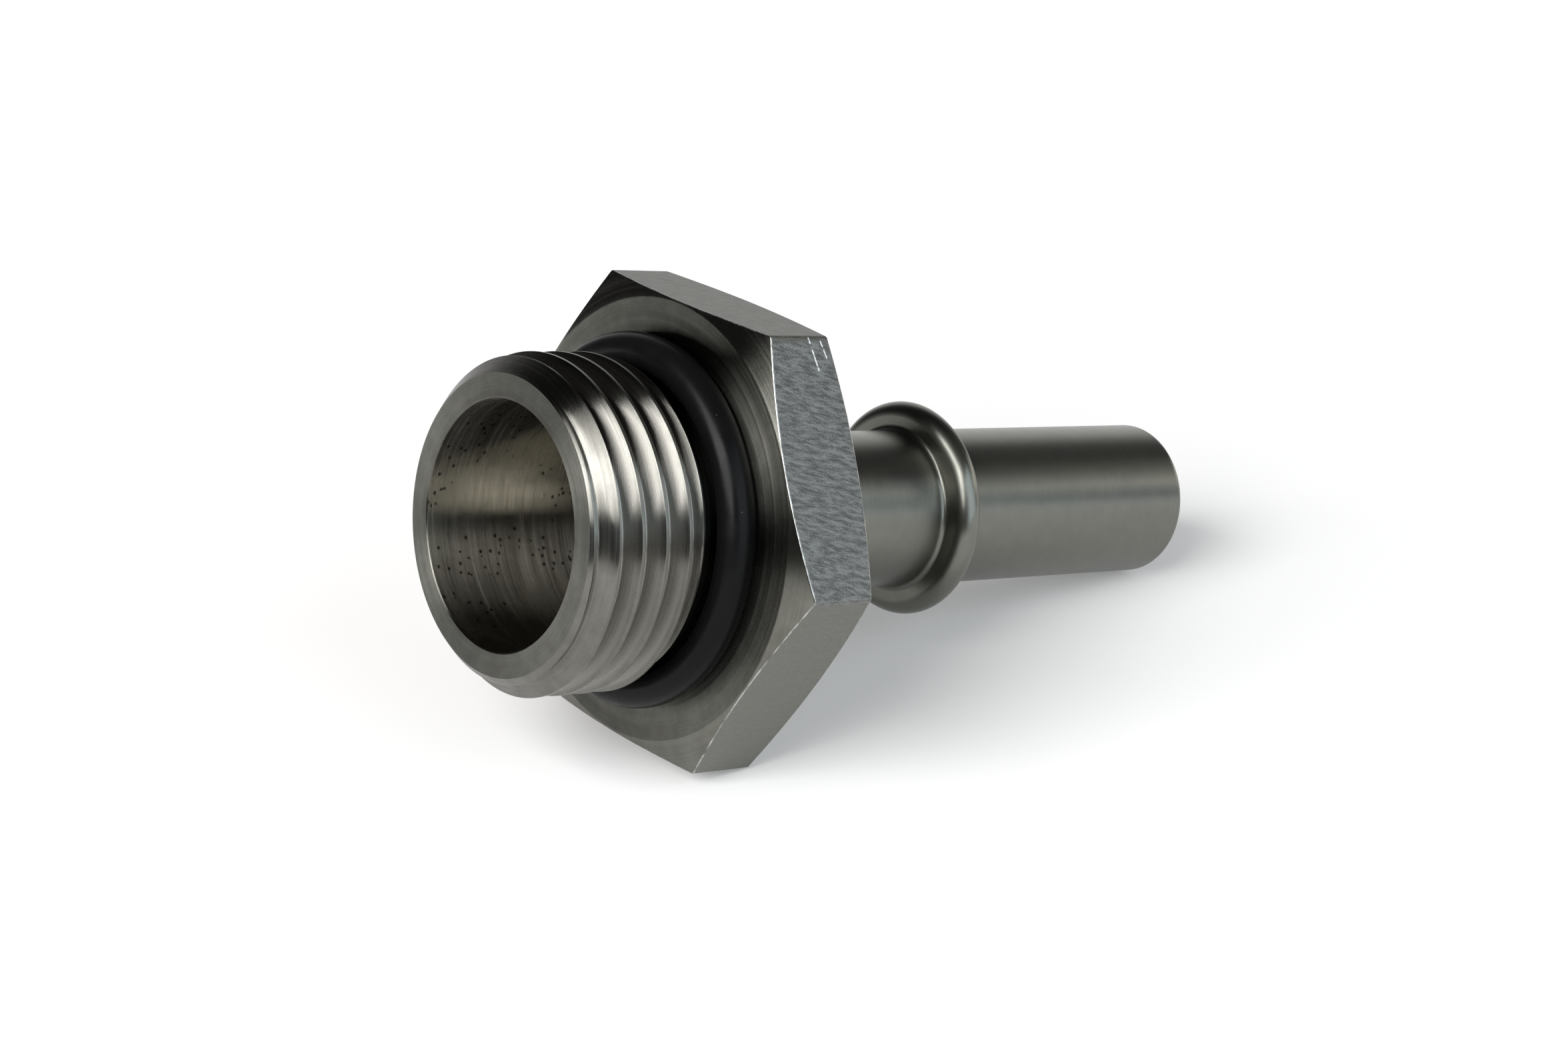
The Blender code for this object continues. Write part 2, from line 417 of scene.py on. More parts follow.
@dataclass(frozen=True)
class Stem:
    """Neck, locking bead and plain tube of the quick connect end.

    The crest's arcs keep a share of its half width, so that a short straight stretch parts them.
    """

    radius: float = 4.745 * MM
    neck_length: float = 13.7 * MM
    bead_height: float = 1.745 * MM
    crest_round: float = 0.85 * MM
    crest_share: float = 0.999
    fillet: float = 0.35 * MM
    tube_length: float = 19.55 * MM
    end_round: float = 0.5 * MM
    neck_fillet: float = 0.2 * MM

    def bead_front(self, start: float) -> float:
        """Station of the bead's neck side, for a neck that starts at a station."""
        return start + self.neck_length

    def end(self, start: float) -> float:
        """Station of the tube's end face."""
        return self.bead_front(start) + 2 * self.crest_round + self.tube_length

    def corners(self, start: float) -> list[Corner]:
        """Profile corners from the hexagon's back face to the rounded rim of the tube.

        Args:
            start: Station of the hexagon's back face.

        Returns:
            The corners in order.
        """
        near = self.bead_front(start)
        far = near + 2 * self.crest_round
        top = self.radius + self.bead_height
        crest = self.crest_round * self.crest_share
        satin = Finish.SATIN
        return [
            Corner(start, self.radius, self.neck_fillet, 4, satin, 10),
            Corner(near, self.radius, self.fillet, 6, satin),
            Corner(near, top, crest, 9, satin),
            Corner(far, top, crest, 9, satin),
            Corner(far, self.radius, self.fillet, 6, satin, 14),
            Corner(self.end(start), self.radius, self.end_round, 6, Finish.FACED, 1, satin),
        ]


@dataclass(frozen=True)
class Bores:
    """The wide mouth bore, its drilled floor and the narrower bore through the stem."""

    mouth_radius: float = 6.95 * MM
    stem_radius: float = 3.495 * MM
    mouth_chamfer: float = 0.06 * MM
    end_chamfer: float = 0.15 * MM
    floor_to_back: float = 3.0 * MM
    drill_point: float = math.radians(118)
    edge_round: float = 0.02 * MM
    face_round: float = 0.03 * MM
    throat_round: float = 0.05 * MM
    floor_round: float = 0.15 * MM

    def corners(self, tube_end: float, hexagon_back: float) -> list[Corner]:
        """Profile corners from the tube's end face in through both bores to the mouth.

        Args:
            tube_end: Station of the tube's end face.
            hexagon_back: Station of the hexagon's back face, which the floor is measured from.

        Returns:
            The corners in order.
        """
        floor = hexagon_back - self.floor_to_back
        point = (self.mouth_radius - self.stem_radius) / math.tan(self.drill_point / 2)
        bored, edge = Finish.BORED, self.edge_round
        wide = self.mouth_radius + self.mouth_chamfer
        return [
            Corner(tube_end, self.stem_radius + self.end_chamfer, edge, 2, bored),
            Corner(tube_end - self.end_chamfer, self.stem_radius, edge, 2, bored, 10),
            Corner(floor + point, self.stem_radius, self.throat_round, 2, bored, 2),
            Corner(floor, self.mouth_radius, self.floor_round, 3, bored, 9),
            Corner(self.mouth_chamfer, self.mouth_radius, edge, 2, Finish.FACED),
            Corner(0.0, wide, self.face_round, 2, Finish.FACED, 4),
        ]


def finished_mesh(name: str, surfaces: list[Surface], pose: LyingPose) -> bpy.types.Mesh:
    """Join surfaces into one closed mesh, laid down in the scene.

    Args:
        name: Name of the mesh.
        surfaces: Grids whose border rings meet.
        pose: How the fitting lies.

    Returns:
        The mesh, its faces pointing outwards and its finish numbers as material numbers.
    """
    parts = [pose.place(s.points.reshape(-1, 3)) for s in surfaces]
    starts = np.cumsum([0] + [len(part) for part in parts])
    points = np.concatenate(parts)
    quads = np.concatenate([s.quads() + start for s, start in zip(surfaces, starts)])
    finishes = np.concatenate([s.face_finishes() for s in surfaces])
    mesh = bpy.data.meshes.new(name)
    mesh.from_pydata(points, [], quads)
    mesh.polygons.foreach_set("material_index", finishes)
    shape = bmesh.new()
    shape.from_mesh(mesh)
    bmesh.ops.remove_doubles(shape, verts=shape.verts, dist=JOIN_DISTANCE)
    bmesh.ops.recalc_face_normals(shape, faces=shape.faces)
    open_edges = sum(1 for edge in shape.edges if not edge.is_manifold)
    shape.to_mesh(mesh)
    shape.free()
    mesh.shade_smooth()
    mesh.set_sharp_from_angle(angle=SHARP_ANGLE)
    mesh.calc_loop_triangles()
    log.info("%s: %d triangles, %d open edges", name, len(mesh.loop_triangles), open_edges)
    return mesh


def opaque(color: Color) -> tuple[float, float, float, float]:
    """A colour with its alpha of 1."""
    return (*color, 1.0)


@dataclass(frozen=True)
class NodeTree:
    """A material's node tree, with short ways to add nodes to it and to do sums in it."""

    material: bpy.types.Material | bpy.types.World

    @classmethod
    def of_material(cls, name: str) -> "NodeTree":
        """Start a new node material of a name."""
        material = bpy.data.materials.new(name)
        material.use_nodes = True
        return cls(material)

    @property
    def nodes(self) -> bpy.types.Nodes:
        """The tree's nodes."""
        return self.material.node_tree.nodes

    def add(self, kind: str, inputs: dict | None = None, **settings: object) -> bpy.types.Node:
        """Add a node, set its fields and feed its inputs.

        Args:
            kind: Blender's name of the node type.
            inputs: Values or sockets by input name or number.
            settings: Fields of the node itself.

        Returns:
            The new node.
        """
        node = self.nodes.new(kind)
        for key, value in settings.items():
            setattr(node, key, value)
        for key, value in (inputs or {}).items():
            self.feed(node.inputs[key], value)
        return node

    def feed(self, socket: Socket, value: object) -> None:
        """Link a socket to an input, or set the input's value."""
        if isinstance(value, Socket):
            self.material.node_tree.links.new(value, socket)
        else:
            socket.default_value = value

    def sum(self, operation: str, *values: object) -> Socket:
        """Do one step of arithmetic on numbers or sockets."""
        node = self.add("ShaderNodeMath", dict(enumerate(values)), operation=operation)
        return node.outputs[0]

    def plus(self, *values: object) -> Socket:
        """Add numbers or sockets up, from the left."""
        return reduce(lambda first, second: self.sum("ADD", first, second), values)

    def times(self, *values: object) -> Socket:
        """Multiply numbers or sockets, from the left."""
        return reduce(lambda first, second: self.sum("MULTIPLY", first, second), values)

    def shade(self, inputs: dict[str, object], node: str = "Principled BSDF") -> None:
        """Feed inputs of the tree's shader, or of another node that it starts with."""
        for key, value in inputs.items():
            self.feed(self.nodes[node].inputs[key], value)

    def vector(self, x: object, y: object, z: object) -> Socket:
        """Put three numbers or sockets together as a vector."""
        return self.add("ShaderNodeCombineXYZ", {0: x, 1: y, 2: z}).outputs[0]

    def vector_sum(self, operation: str, *values: object) -> bpy.types.NodeOutputs:
        """Do one step of vector arithmetic on vectors or sockets."""
        node = self.add("ShaderNodeVectorMath", dict(enumerate(values)), operation=operation)
        return node.outputs

    def place(self) -> Socket:
        """Object coordinates of the shaded point."""
        return self.add("ShaderNodeTexCoord").outputs["Object"]

    def spots(self, vector: object, scale: float) -> Socket:
        """Distance from the nearest of the scattered points at a scale."""
        node = self.add("ShaderNodeTexVoronoi", {"Vector": vector, "Scale": scale})
        return node.outputs["Distance"]

    def noise(self, at: object, scale: float, detail: float, rough: float = 0.5) -> Socket:
        """Cloudy noise between 0 and 1 at a vector."""
        inputs = {"Vector": at, "Scale": scale, "Detail": detail, "Roughness": rough}
        return self.add("ShaderNodeTexNoise", inputs).outputs["Fac"]

    def span(self, value: object, low: float, high: float, start: float = 0.0,
             end: float = 1.0) -> Socket:
        """Carry a value from one span to another, softly, and hold it at both ends."""
        inputs = {"Value": value, "From Min": low, "From Max": high, "To Min": start, "To Max": end}
        node = self.add("ShaderNodeMapRange", inputs, interpolation_type="SMOOTHSTEP")
        return node.outputs["Result"]

    def blend(self, share: object, first: object, second: Color) -> Socket:
        """Mix a colour or socket with a second colour by a share."""
        start = first if isinstance(first, Socket) else opaque(first)
        node = self.add("ShaderNodeMix", {0: share, 6: start, 7: opaque(second)}, data_type="RGBA")
        return node.outputs[2]

    def bump(self, height: object, distance: float, normal: Socket | None = None) -> Socket:
        """Raise the surface by a height between 0 and 1 times a distance in metres."""
        node = self.add("ShaderNodeBump", {"Strength": 1.0, "Distance": distance, "Height": height})
        if normal is not None:
            self.feed(node.inputs["Normal"], normal)
        return node.outputs["Normal"]


@dataclass(frozen=True)
class AxisPlaces:
    """Sockets that tell where a point lies on the fitting, in millimetres."""

    point: Socket
    station: Socket
    side: Socket
    height: Socket
    radius: Socket
    ring: Socket


def axis_places(tree: NodeTree, pose: LyingPose) -> AxisPlaces:
    """Bring a material's coordinates on to the fitting's own axis.

    The ring value is station + RING_SLOPE radius, which changes across every face, wall and cone
    that the lathe turns and stays the same round the axis.

    Args:
        tree: The material's nodes.
        pose: How the fitting lies.

    Returns:
        The sockets.
    """
    mapping = tree.add("ShaderNodeMapping", {
        "Vector": tree.place(),
        "Location": (pose.along, 0.0, pose.up),
        "Rotation": (0.0, pose.tilt, 0.0),
        "Scale": (MM, MM, MM),
    }, vector_type="TEXTURE")
    point = mapping.outputs[0]
    split = tree.add("ShaderNodeSeparateXYZ", {0: point})
    station, side, height = split.outputs
    squares = tree.plus(tree.times(side, side), tree.times(height, height))
    radius = tree.sum("SQRT", squares)
    ring = tree.plus(station, tree.times(radius, RING_SLOPE))
    return AxisPlaces(point, station, side, height, radius, ring)


@dataclass(frozen=True)
class Steel:
    """What every finish of the steel has.

    Args:
        name: Name of the material.
        slot: Finish number.
        color: Colour of the crests of its marks.
        shade: Colour between them.
        roughness: Middle roughness, or that of the rough flat.
    """

    name: str
    slot: Finish
    color: Color
    shade: Color
    roughness: float


@dataclass(frozen=True)
class TurnedSteel(Steel):
    """Steel that a lathe tool left: fine rings round the axis, faint clouds and small pits.

    The groove colour is painted light, lighter deep in the thread's grooves; it has spans along the
    axis to set in and to end, and one in radius to deepen.
    The pits crowd in a band at pit_height. Places and spans are in millimetres.

    Args:
        ring_scale: Tool marks to a millimetre.
        ring_depth: Height of the marks.
        anisotropic: How much further the reflections spread across the marks than along them.
        streak: How soon a mark changes along its way, to a millimetre.
        spread: Share by which the roughness strays to either side.
        pitted: Share of the pits that show.
        groove_painted_light_color: Painted light: a lighter colour deep in the thread's grooves.
        pit_radius: Radius of the widest pits.
        pit_noise: Span of the noise over which the pits grow, for a share of 0.
    """

    ring_scale: float
    ring_depth: float
    anisotropic: float = 0.0
    streak: float = 0.035
    spread: float = 0.18
    pitted: float = 0.0
    groove_painted_light_color: Color | None = None
    groove_start: Span = (1.2, 1.8)
    groove_end: Span = (6.9, 6.6)
    groove_deep: Span = (9.42, 9.15)
    pit_color: Color = (0.055, 0.055, 0.05)
    pit_scale: float = 1.9
    pit_radius: float = 0.21
    pit_depth: float = 0.02 * MM
    pit_height: float = -3.5
    pit_band: Span = (0.7, 1.6)
    pit_gain: Span = (0.10, -0.18)
    pit_noise: Span = (0.6, 0.75)

    def painted_groove_light_share(self, tree: NodeTree, place: AxisPlaces) -> Socket:
        """Share of the painted groove light: 1 deep in the thread's grooves, and 0 on its crests,
        its open start and the relief.
        """
        inside = tree.times(tree.span(place.station, *self.groove_start),
                            tree.span(place.station, *self.groove_end))
        return tree.times(tree.span(place.radius, *self.groove_deep), inside)

    def pits(self, tree: NodeTree, place: AxisPlaces) -> Socket:
        """1 in small round pits of about 0.2 mm, most of them in a band low on the wall, else 0."""
        off_band = tree.sum("ABSOLUTE", tree.plus(place.height, -self.pit_height))
        group = tree.plus(tree.noise(place.point, 0.22, 1.0),
                          tree.span(off_band, *self.pit_band, *self.pit_gain))
        low, high = self.pit_noise
        edge = tree.span(group, low - self.pitted, high - self.pitted, 0.0, self.pit_radius)
        return tree.sum("LESS_THAN", tree.spots(place.point, self.pit_scale), edge)

    def round_way(self, tree: NodeTree, pose: LyingPose) -> Socket:
        """Unit vector round the fitting's axis, along the tool marks."""
        axis = (math.cos(pose.tilt), 0.0, -math.sin(pose.tilt))
        off_axis = tree.vector_sum("SUBTRACT", tree.place(), (pose.along, 0.0, pose.up))[0]
        way = tree.vector_sum("CROSS_PRODUCT", axis, off_axis)[0]
        return tree.vector_sum("NORMALIZE", way)[0]

    def material(self, pose: LyingPose) -> bpy.types.Material:
        """Build the node material.

        Args:
            pose: How the fitting lies, for the rings' axis.

        Returns:
            The material.
        """
        tree = NodeTree.of_material(self.name)
        place = axis_places(tree, pose)
        across = tree.times(place.ring, self.ring_scale)
        slow_side = tree.times(place.side, self.streak)
        slow_height = tree.times(place.height, self.streak)
        fine = tree.noise(tree.vector(across, slow_side, slow_height), 1.0, 3.0, 0.65)
        broad = tree.vector(tree.times(across, BROAD_SHARE), slow_side, slow_height)
        wide = tree.noise(broad, 1.0, 1.0, 0.5)
        cloud = tree.noise(place.point, 0.9, 3.0, 0.6)
        tone = tree.plus(tree.times(fine, 0.5), tree.times(cloud, 0.5))
        color = tree.blend(tree.span(tone, 0.35, 0.65), self.shade, self.color)
        # Painted light: the grooves take a lighter colour than the crests.
        if self.groove_painted_light_color:
            color = tree.blend(self.painted_groove_light_share(tree, place), color, self.groove_painted_light_color)
        rough = tree.span(tree.plus(fine, wide), 0.6, 1.4,
                          self.roughness * (1 - self.spread), self.roughness * (1 + self.spread))
        normal = tree.bump(tree.plus(fine, tree.times(wide, 1.5)), self.ring_depth)
        if self.pitted:
            pit = self.pits(tree, place)
            color = tree.blend(pit, color, self.pit_color)
            normal = tree.bump(tree.sum("SUBTRACT", 1.0, pit), self.pit_depth, normal)
        tree.shade({"Metallic": 1.0, "Anisotropic": self.anisotropic,
                    "Anisotropic Rotation": ACROSS_MARKS, "Base Color": color,
                    "Roughness": rough, "Normal": normal})
        if self.anisotropic:
            tree.shade({"Tangent": self.round_way(tree, pose)})
        return tree.material


@dataclass(frozen=True)
class Scratch:
    """A straight scratch on the rough flat, broken into dots.

    Args:
        start: Station and distance across the flat, in millimetres.
        end: The same for its other end.
        half_width: Half of its width, in millimetres.
    """

    start: Span
    end: Span
    half_width: float = 0.05

    def mask(self, tree: NodeTree, station: Socket, across: Socket) -> Socket:
        """1 on the scratch's dots, else 0.

        Args:
            tree: The material's nodes.
            station: Place along the fitting's axis, in millimetres.
            across: Place across the flat, in millimetres.

        Returns:
            The mask.
        """
        run = math.dist(self.start, self.end)
        way = ((self.end[0] - self.start[0]) / run, (self.end[1] - self.start[1]) / run)
        x = tree.sum("SUBTRACT", station, self.start[0])
        y = tree.sum("SUBTRACT", across, self.start[1])
        along = tree.plus(tree.times(x, way[0]), tree.times(y, way[1]))
        off = tree.sum("SUBTRACT", tree.times(x, way[1]), tree.times(y, way[0]))
        near = tree.sum("LESS_THAN", tree.sum("ABSOLUTE", off), self.half_width)
        middle = tree.sum("ABSOLUTE", tree.sum("SUBTRACT", along, run / 2))
        inside = tree.sum("LESS_THAN", middle, run / 2)
        broken = tree.noise(tree.vector(along, way[0], 0.0), 3.5, 2.0, 0.6)
        return tree.times(near, inside, tree.span(broken, 0.42, 0.52))


@dataclass(frozen=True)
class DrawnSteel(Steel):
    """The rough skin of drawn hexagon bar: slanted ripples, clouds, pits and scratches.

    One flat is much rougher than the others and carries the scratches, and the top flat has a plain
    painted tone, set for how the light falls on it from above.

    Args:
        plain_color: Colour that the other flats are mixed with.
        rough_flat: Angle of the rough flat, from the side towards the top.
        on_flat: Distances from the axis between which a flat begins, in millimetres.
        calm: Share of the ripples that the other flats keep.
        unrolled: Radius in millimetres at which angles are turned into lengths.
        slant: How far the ripples slip round for each length along the axis.
        ripple_scale: Ripples to a millimetre, along the axis and round it.
    """

    fine_roughness: float = 0.46
    top_painted_light_color: Color = (0.157, 0.157, 0.141)
    plain_color: Color = (0.155, 0.155, 0.122)
    scratch_color: Color = (0.85, 0.86, 0.86)
    rough_flat: float = math.radians(150.0)
    on_flat: Span = (12.3, 12.6)
    calm: float = 0.25
    unrolled: float = 13.0
    slant: float = -0.2
    ripple_scale: Span = (1.2, 3.9)
    pit_scale: float = 3.2
    depth: float = 0.09 * MM
    scratches: tuple[Scratch, ...] = (
        Scratch((13.25, -7.3), (13.65, -5.4)),
        Scratch((14.08, -7.1), (14.36, -6.1)),
    )

    def material(self, pose: LyingPose) -> bpy.types.Material:
        """Build the node material.

        Args:
            pose: How the fitting lies, for the ripples' direction.

        Returns:
            The material.
        """
        tree = NodeTree.of_material(self.name)
        place = axis_places(tree, pose)
        cosine, sine = math.cos(self.rough_flat), math.sin(self.rough_flat)
        facing = tree.plus(tree.times(place.side, cosine), tree.times(place.height, sine))
        across = tree.plus(tree.times(place.side, -sine), tree.times(place.height, cosine))
        on_rough = tree.span(facing, *self.on_flat)
        painted_top_share = tree.span(place.height, *self.on_flat)
        coarse = tree.plus(tree.times(on_rough, 1.0 - self.calm), self.calm)
        arc = tree.times(tree.sum("ARCTAN2", place.height, place.side), self.unrolled)
        slipped = tree.plus(arc, tree.times(place.station, self.slant))
        ripple_at = tree.vector(tree.times(place.station, self.ripple_scale[0]),
                                tree.times(slipped, self.ripple_scale[1]), 0.0)
        ripple = tree.noise(ripple_at, 1.0, 3.0, 0.6)
        cloud = tree.noise(tree.vector(place.station, arc, 4.0), 0.9, 2.0, 0.5)
        grain = tree.noise(tree.vector(place.station, arc, 9.0), 11.0, 2.0, 0.6)
        spots = tree.spots(tree.vector(place.station, arc, 2.0), self.pit_scale)
        off_pit = tree.span(spots, 0.04, 0.13)
        swing = tree.times(tree.sum("SUBTRACT", ripple, 0.5), coarse)
        speckle = tree.times(tree.sum("SUBTRACT", grain, 0.5), 0.6)
        tone = tree.plus(swing, 0.5, speckle)
        color = tree.blend(tree.span(tone, 0.34, 0.66), self.shade, self.color)
        color = tree.blend(tree.span(on_rough, 0.0, 1.0, 0.5, 0.0), color, self.plain_color)
        # Painted light: the top flat gets a plain tone set for how light falls on it from above.
        color = tree.blend(painted_top_share, color, self.top_painted_light_color)
        for scratch in self.scratches:
            mask = tree.times(on_rough, scratch.mask(tree, place.station, across))
            color = tree.blend(mask, color, self.scratch_color)
        swept = tree.span(tree.plus(ripple, grain), 0.7, 1.3, -0.05, 0.05)
        level = tree.span(on_rough, 0.0, 1.0, self.fine_roughness, self.roughness)
        fine_relief = tree.plus(tree.times(off_pit, 0.3), tree.times(cloud, 0.5))
        relief = tree.plus(tree.times(ripple, coarse),
                           tree.plus(tree.times(grain, 0.2), fine_relief))
        tree.shade({"Metallic": 1.0, "Base Color": color, "Roughness": tree.plus(swept, level),
                    "Normal": tree.bump(relief, self.depth)})
        return tree.material


@dataclass(frozen=True)
class MouldedRubber:
    """Black moulded rubber: a soft sheen, fine grain and a little dust."""

    name: str = "moulded_black_rubber"
    color: Color = (0.004, 0.004, 0.0042)
    dust: Color = (0.09, 0.09, 0.09)
    roughness: float = 0.30
    spread: float = 0.15
    sheen_level: float = 0.10
    grain_depth: float = 0.004 * MM

    def material(self, pose: LyingPose) -> bpy.types.Material:
        """Build the node material.

        Args:
            pose: How the fitting lies.

        Returns:
            The material.
        """
        tree = NodeTree.of_material(self.name)
        place = axis_places(tree, pose)
        grain = tree.noise(place.point, 9.0, 3.0, 0.6)
        cloud = tree.noise(place.point, 0.8, 2.0, 0.5)
        dusty = tree.span(tree.spots(place.point, 1.1), 0.02, 0.05, 1.0, 0.0)
        rough = tree.span(cloud, 0.3, 0.7,
                          self.roughness * (1 - self.spread), self.roughness * (1 + self.spread))
        tree.shade({"Specular IOR Level": self.sheen_level,
                    "Base Color": tree.blend(dusty, self.color, self.dust),
                    "Roughness": rough, "Normal": tree.bump(grain, self.grain_depth)})
        return tree.material


def placed(name: str, data: bpy.types.ID) -> Item:
    """Make an object of a mesh, a lamp or a camera, and put it in the scene."""
    item = bpy.data.objects.new(name, data)
    bpy.context.scene.collection.objects.link(item)
    return item


@dataclass(frozen=True)
class FittingBody:
    """The steel body: thread, hexagon, stem and bores as one closed surface."""

    lathe: Lathe = Lathe()
    thread: ThreadedEnd = ThreadedEnd()
    hexagon: Hexagon = Hexagon()
    stem: Stem = Stem()
    bores: Bores = Bores()

    def pose(self) -> LyingPose:
        """Work out how the fitting lies.

        The floor touches the back edge of the lowest flat and is tangent to the tube's rounded rim,
        and the scene's origin lies under the middle of the fitting.

        Returns:
            The pose.
        """
        hexagon, stem = self.hexagon, self.stem
        edge = hexagon.back - (hexagon.flat_radius - hexagon.back_land) * hexagon.chamfer_slope
        rim = stem.end(hexagon.back) - stem.end_round
        inner = stem.radius - stem.end_round
        run, drop = rim - edge, hexagon.flat_radius - inner
        tilt = math.atan2(drop, run) - math.asin(stem.end_round / math.hypot(run, drop))
        cosine, sine = math.cos(tilt), math.sin(tilt)
        lowest = -self.thread.face_radius * sine
        highest = rim * cosine + inner * sine + stem.end_round
        return LyingPose(tilt, -(lowest + highest) / 2, edge * sine + hexagon.flat_radius * cosine)

    def turned_surface(self, angles: np.ndarray) -> Surface:
        """Everything but the thread, from the groove round by the tube's end to the faced end."""
        thread, hexagon = self.thread, self.hexagon
        end = self.stem.end(hexagon.back)
        corners = [
            # The relief groove's floor takes painted shade, a near black steel.
            Corner(thread.wall_end, thread.relief_radius, finish=Finish.RELIEF_PAINTED_SHADE, rows=3),
            Corner(hexagon.front, thread.relief_radius, thread.relief_round, 3, Finish.FACED, 8),
            *hexagon.corners(angles),
            *self.stem.corners(hexagon.back),
            *self.bores.corners(end, hexagon.back),
            Corner(0.0, thread.face_radius),
        ]
        profile, bands = rounded_profile(corners, len(angles))
        return Surface(turned_points(profile, angles), bands)

    def build(self, pose: LyingPose, finishes: list[TurnedSteel | DrawnSteel]) -> Item:
        """Make the body's mesh and give it its materials.

        Args:
            pose: How the fitting lies.
            finishes: The steel finishes, one for each finish number.

        Returns:
            The body.
        """
        angles = self.lathe.angles()
        surfaces = [self.thread.surface(angles), self.turned_surface(angles)]
        mesh = finished_mesh("steel_body", surfaces, pose)
        for finish in sorted(finishes, key=lambda item: item.slot.value):
            mesh.materials.append(finish.material(pose))
        body = placed("steel_body", mesh)
        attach(body, "root")
        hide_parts("fitting_body")
        return body


@dataclass(frozen=True)
class RubberRing:
    """The O-ring in the relief groove, against the hexagon's shoulder."""

    section: float = 2.15 * MM
    columns: int = 240
    rows: int = 48

    def build(self, steel: FittingBody, pose: LyingPose, finish: MouldedRubber) -> Item:
        """Make the ring.

        A point at b round the section lies at radius R + c cos b and station S + c sin b.

        Args:
            steel: The body that carries the ring.
            pose: How the fitting lies.
            finish: The ring's rubber.

        Returns:
            The ring.
        """
        half = self.section / 2
        across = np.linspace(0.0, math.tau, self.rows + 1)[:, None]
        angles = np.linspace(0.0, math.tau, self.columns, endpoint=False)
        radius = steel.thread.relief_radius + half + half * np.cos(across)
        station = steel.hexagon.front - half + half * np.sin(across)
        profile = np.stack(np.broadcast_arrays(station, radius + 0 * angles), axis=-1)
        surface = Surface(turned_points(profile, angles), np.zeros(self.rows, int))
        mesh = finished_mesh("rubber_ring", [surface], pose)
        mesh.materials.append(finish.material(pose))
        ring = placed("rubber_ring", mesh)
        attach(ring, "root")
        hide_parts("o_ring")
        return ring


def turned_to(way: Vector) -> Euler:
    """Rotation of a lamp or camera that looks a given way."""
    return way.to_track_quat("-Z", "Y").to_euler()


def direction(azimuth: float, elevation: float) -> Vector:
    """Unit vector at an azimuth from +X and an elevation, both in degrees."""
    turn, rise = math.radians(azimuth), math.radians(elevation)
    level = math.cos(rise)
    return Vector((level * math.cos(turn), level * math.sin(turn), math.sin(rise)))


@dataclass(frozen=True)
class SoftBox:
    """A soft studio lamp that looks at the fitting.

    Args:
        name: Name of the lamp.
        azimuth: Degrees from +X, seen from above.
        elevation: Degrees above the floor.
        width: Degrees that its face spans from side to side, seen from the fitting.
        height: Degrees that its face spans from bottom to top.
        brightness: Radiance of its face, where 1 is the white of the floor.
        color: Tint of its light.
        distance: Metres from the fitting.
    """

    name: str
    azimuth: float
    elevation: float
    width: float
    height: float
    brightness: float
    color: Color = WHITE
    distance: float = 0.8

    def build(self, target: Vector) -> None:
        """Hang the lamp and turn it towards a target.

        Args:
            target: What the lamp looks at.
        """
        lamp = bpy.data.lights.new(self.name, "AREA")
        lamp.shape = "RECTANGLE"
        lamp.size = 2 * self.distance * math.tan(math.radians(self.width / 2))
        lamp.size_y = 2 * self.distance * math.tan(math.radians(self.height / 2))
        lamp.energy = self.brightness * math.pi * lamp.size * lamp.size_y
        lamp.color = self.color
        item = placed(self.name, lamp)
        way = direction(self.azimuth, self.elevation)
        item.location = target + way * self.distance
        item.rotation_euler = turned_to(-way)
        item.visible_camera = False


@dataclass(frozen=True)
class DarkTent:
    """Cloth round the set that only reflections show, dark but for a pale sweep at the back.

    It gives the steel its dark bands. Each way is an azimuth and an elevation in degrees, and each
    span the cosines off that way between which its tone sets in.
    """

    radius: float = 1.3
    columns: int = 64
    rows: int = 16
    rise: Span = (0.5, 89.0)
    tones: Span = (0.11, 0.015)
    deep_way: Span = (120.0, 45.0)
    deep_span: Span = (0.1, 0.8)
    pale: float = 1.0
    pale_way: Span = (52.0, 4.0)
    pale_span: Span = (0.74, 0.96)

    def build(self) -> None:
        """Raise the tent: azimuth a, elevation e at radius (cos e cos a, cos e sin a, sin e)."""
        turn = np.linspace(0.0, math.tau, self.columns, endpoint=False)
        rise = np.radians(np.linspace(*self.rise, self.rows))[:, None]
        grid = np.stack([np.cos(rise) * np.cos(turn), np.cos(rise) * np.sin(turn),
                         np.sin(rise) + 0 * turn], axis=-1) * self.radius
        surface = Surface(grid, np.zeros(self.rows - 1, int))
        mesh = bpy.data.meshes.new("dark_tent")
        mesh.from_pydata(grid.reshape(-1, 3), [], surface.quads()[:, ::-1])
        tree = NodeTree.of_material("dark_cloth")
        place = tree.place()
        dark, pale = (
            tree.vector_sum("DOT_PRODUCT", place, direction(*way) / self.radius)["Value"]
            for way in (self.deep_way, self.pale_way)
        )
        tone = tree.plus(tree.span(dark, *self.deep_span, *self.tones),
                         tree.span(pale, *self.pale_span, 0.0, self.pale))
        glow = tree.add("ShaderNodeEmission", {"Color": opaque(WHITE), "Strength": tone})
        tree.shade({"Surface": glow.outputs[0]}, "Material Output")
        mesh.materials.append(tree.material)
        item = placed("dark_tent", mesh)
        item.visible_camera = item.visible_diffuse = item.visible_shadow = False
        item.visible_transmission = item.visible_volume_scatter = False


